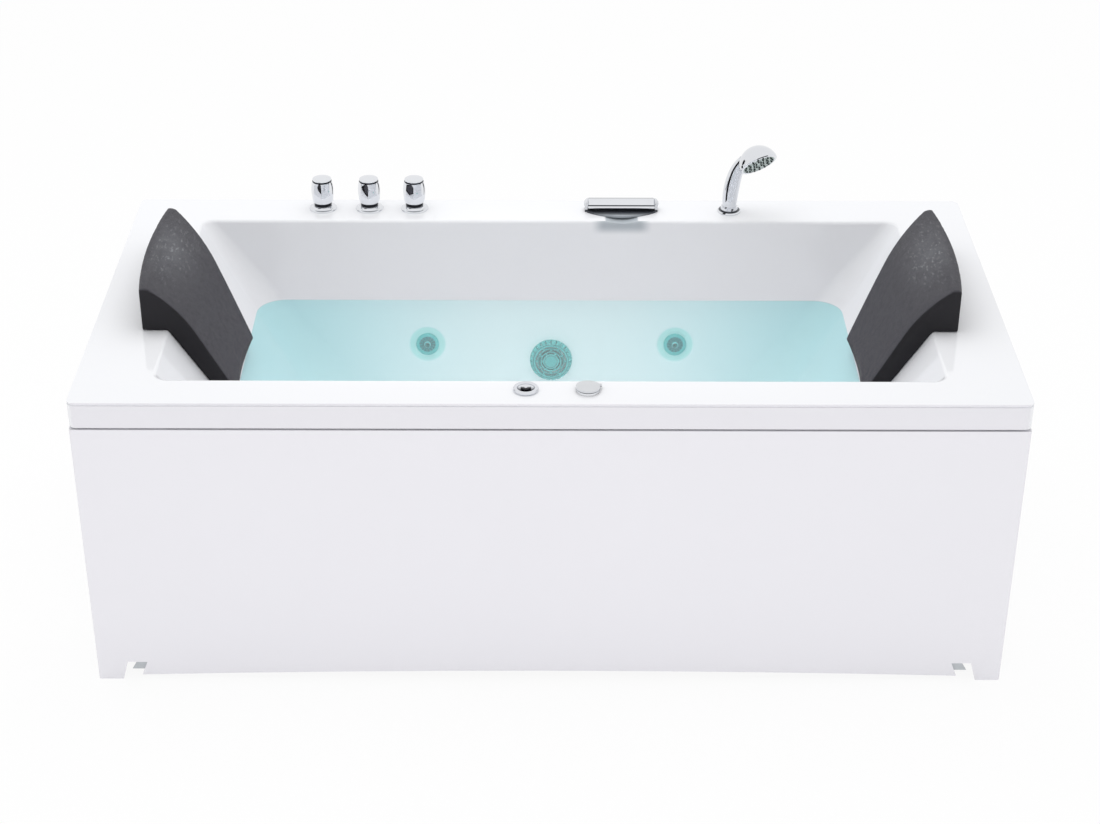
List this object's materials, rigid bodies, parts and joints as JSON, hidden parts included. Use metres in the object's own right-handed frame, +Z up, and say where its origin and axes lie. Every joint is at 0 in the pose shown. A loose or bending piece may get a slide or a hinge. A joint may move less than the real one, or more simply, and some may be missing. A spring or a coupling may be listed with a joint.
{
  "type": "jetted bathtub",
  "caption": "Rectangular acrylic bathtub with skirt panels, two padded headrests, water jets, deck taps, waterfall spout and hand shower, on a steel frame with its pump and pipework.",
  "frame": {"origin": "on the floor under the middle of the tub's outline", "axes": "+X along the tub to the right of someone facing its front panel, +Y towards the wall behind it, +Z up"},
  "size_m": [1.7, 0.85, 0.7587],
  "materials": {
    "acrylic": "glossy white cast acrylic",
    "panel_plastic": "satin-gloss white sheet",
    "foam_skin": "charcoal self-skinned foam with a fine leather grain",
    "chromed_brass": "polished chrome plate",
    "chromed_plastic": "chrome-plated plastic",
    "raw_brass": "machined brass",
    "dark_trim": "dark smoked gloss",
    "soft_rubber": "matt black rubber",
    "steel_tube": "grey powder coat",
    "zinc_steel": "zinc plated",
    "particle_board": "bare chipboard",
    "pipe_plastic": "white-grey pressure pipe",
    "black_plastic": "moulded black",
    "bath_water": "clear, teal-tinted",
    "motor_metal": "die cast, satin"
  },
  "bodies": {
    "tub": {"tub_shell": "acrylic", "base_board": "particle_board", "frame_long_rails": "steel_tube", "frame_cross_members": "steel_tube", "frame_posts": "steel_tube", "foot_pads": "black_plastic", "foot_studs": "zinc_steel", "foot_nuts": "zinc_steel", "front_panel": "panel_plastic", "end_panel_left": "panel_plastic", "end_panel_right": "panel_plastic", "panel_clips": "zinc_steel", "tap_flanges": "chromed_brass", "supply_valves": "raw_brass", "diverter_valve": "raw_brass", "link_pipes": "raw_brass", "deck_seals": "soft_rubber", "deck_nuts": "raw_brass", "spout_body": "dark_trim", "spout_bar": "chromed_brass", "shower_holder": "chromed_plastic", "button_ring": "chromed_plastic", "air_bellows": "soft_rubber", "air_control_base": "chromed_plastic", "jet_housings": "pipe_plastic", "suction_cover": "chromed_plastic", "suction_housing": "pipe_plastic", "drain_flange": "chromed_brass", "overflow_housing": "pipe_plastic", "waste_pipes": "pipe_plastic", "suction_pipe": "pipe_plastic", "water_pipes": "pipe_plastic", "air_pipes": "pipe_plastic", "pump_board": "particle_board", "pump_volute": "black_plastic", "pump_motor": "motor_metal", "control_box": "black_plastic"},
    "headrest_left": {"headrest_left": "foam_skin"},
    "headrest_right": {"headrest_right": "foam_skin"},
    "hot_tap": {"hot_knob": "chromed_brass", "hot_spindle": "raw_brass"},
    "cold_tap": {"cold_knob": "chromed_brass", "cold_spindle": "raw_brass"},
    "diverter_tap": {"diverter_knob": "chromed_brass", "diverter_spindle": "raw_brass"},
    "shower": {"hand_shower": "chromed_plastic", "spray_plate": "dark_trim"},
    "start_button": {"air_button": "chromed_plastic"},
    "air_cap": {"air_control_cap": "chromed_plastic"},
    "waste_knob": {"overflow_knob": "chromed_plastic"},
    "plug": {"drain_plug": "chromed_brass"},
    "pump_rotor": {"pump_impeller": "black_plastic"},
    "jet_ring_back_left": {"jet_ring_back_left": "chromed_plastic"},
    "jet_nozzle_back_left": {"jet_nozzle_back_left": "chromed_plastic"},
    "jet_ring_back_right": {"jet_ring_back_right": "chromed_plastic"},
    "jet_nozzle_back_right": {"jet_nozzle_back_right": "chromed_plastic"},
    "jet_ring_front_left": {"jet_ring_front_left": "chromed_plastic"},
    "jet_nozzle_front_left": {"jet_nozzle_front_left": "chromed_plastic"},
    "jet_ring_front_right": {"jet_ring_front_right": "chromed_plastic"},
    "jet_nozzle_front_right": {"jet_nozzle_front_right": "chromed_plastic"}
  },
  "joints": [
    {"name": "headrest_left_lift", "type": "slide", "parent": "tub", "child": "headrest_left", "axis": [0, 0, 1], "range_m": [0, 0.06]},
    {"name": "headrest_right_lift", "type": "slide", "parent": "tub", "child": "headrest_right", "axis": [0, 0, 1], "range_m": [0, 0.06]},
    {"name": "shower_lift", "type": "slide", "parent": "tub", "child": "shower", "axis": [0, 0, 1], "range_m": [0, 0.15]},
    {"name": "start_button_press", "type": "slide", "parent": "tub", "child": "start_button", "axis": [0, 0, -1], "range_m": [0, 0.003], "stiffness_N_per_m": 400, "springref_m": -0.001},
    {"name": "hot_tap_turn", "type": "hinge", "parent": "tub", "child": "hot_tap", "pos_m": [-0.469, 0.384, 0.64], "axis": [0, 0, 1], "range_deg": [0, 90]},
    {"name": "cold_tap_turn", "type": "hinge", "parent": "tub", "child": "cold_tap", "pos_m": [-0.373, 0.384, 0.64], "axis": [0, 0, 1], "range_deg": [-90, 0]},
    {"name": "diverter_tap_turn", "type": "hinge", "parent": "tub", "child": "diverter_tap", "pos_m": [-0.28, 0.384, 0.64], "axis": [0, 0, 1], "range_deg": [0, 90]},
    {"name": "air_cap_turn", "type": "hinge", "parent": "tub", "child": "air_cap", "pos_m": [0.066, -0.373, 0.605], "axis": [0, 0, 1], "range_deg": [0, 180]},
    {"name": "waste_knob_turn", "type": "hinge", "parent": "tub", "child": "waste_knob", "pos_m": [0, -0.31899, 0.48], "axis": [0, 0.9877, 0.1564], "range_deg": [0, 90]},
    {"name": "plug_lift", "type": "slide", "parent": "tub", "child": "plug", "axis": [0, 0, 1], "range_m": [0, 0.008]},
    {"name": "pump_spin", "type": "hinge", "parent": "tub", "child": "pump_rotor", "pos_m": [0.68, 0.125, 0.224], "axis": [0, 1, 0], "continuous": true},
    {"name": "jet_ring_back_left_turn", "type": "hinge", "parent": "tub", "child": "jet_ring_back_left", "pos_m": [-0.255, 0.28103, 0.335], "axis": [0, -0.9877, 0.1564], "range_deg": [0, 90]},
    {"name": "jet_nozzle_back_left_tilt", "type": "hinge", "parent": "jet_ring_back_left", "child": "jet_nozzle_back_left", "pos_m": [-0.255, 0.28893, 0.33375], "axis": [1, 0, 0], "range_deg": [-12, 12]},
    {"name": "jet_ring_back_right_turn", "type": "hinge", "parent": "tub", "child": "jet_ring_back_right", "pos_m": [0.262, 0.28103, 0.335], "axis": [0, -0.9877, 0.1564], "range_deg": [0, 90]},
    {"name": "jet_nozzle_back_right_tilt", "type": "hinge", "parent": "jet_ring_back_right", "child": "jet_nozzle_back_right", "pos_m": [0.262, 0.28893, 0.33375], "axis": [1, 0, 0], "range_deg": [-12, 12]},
    {"name": "jet_ring_front_left_turn", "type": "hinge", "parent": "tub", "child": "jet_ring_front_left", "pos_m": [-0.255, -0.29603, 0.335], "axis": [0, 0.9877, 0.1564], "range_deg": [0, 90]},
    {"name": "jet_nozzle_front_left_tilt", "type": "hinge", "parent": "jet_ring_front_left", "child": "jet_nozzle_front_left", "pos_m": [-0.255, -0.30393, 0.33375], "axis": [1, 0, 0], "range_deg": [-12, 12]},
    {"name": "jet_ring_front_right_turn", "type": "hinge", "parent": "tub", "child": "jet_ring_front_right", "pos_m": [0.262, -0.29603, 0.335], "axis": [0, 0.9877, 0.1564], "range_deg": [0, 90]},
    {"name": "jet_nozzle_front_right_tilt", "type": "hinge", "parent": "jet_ring_front_right", "child": "jet_nozzle_front_right", "pos_m": [0.262, -0.30393, 0.33375], "axis": [1, 0, 0], "range_deg": [-12, 12]}
  ],
  "couplings": [
    {"joint": "plug_lift", "follows": "waste_knob_turn", "m_per_rad": 0.00509}
  ]
}
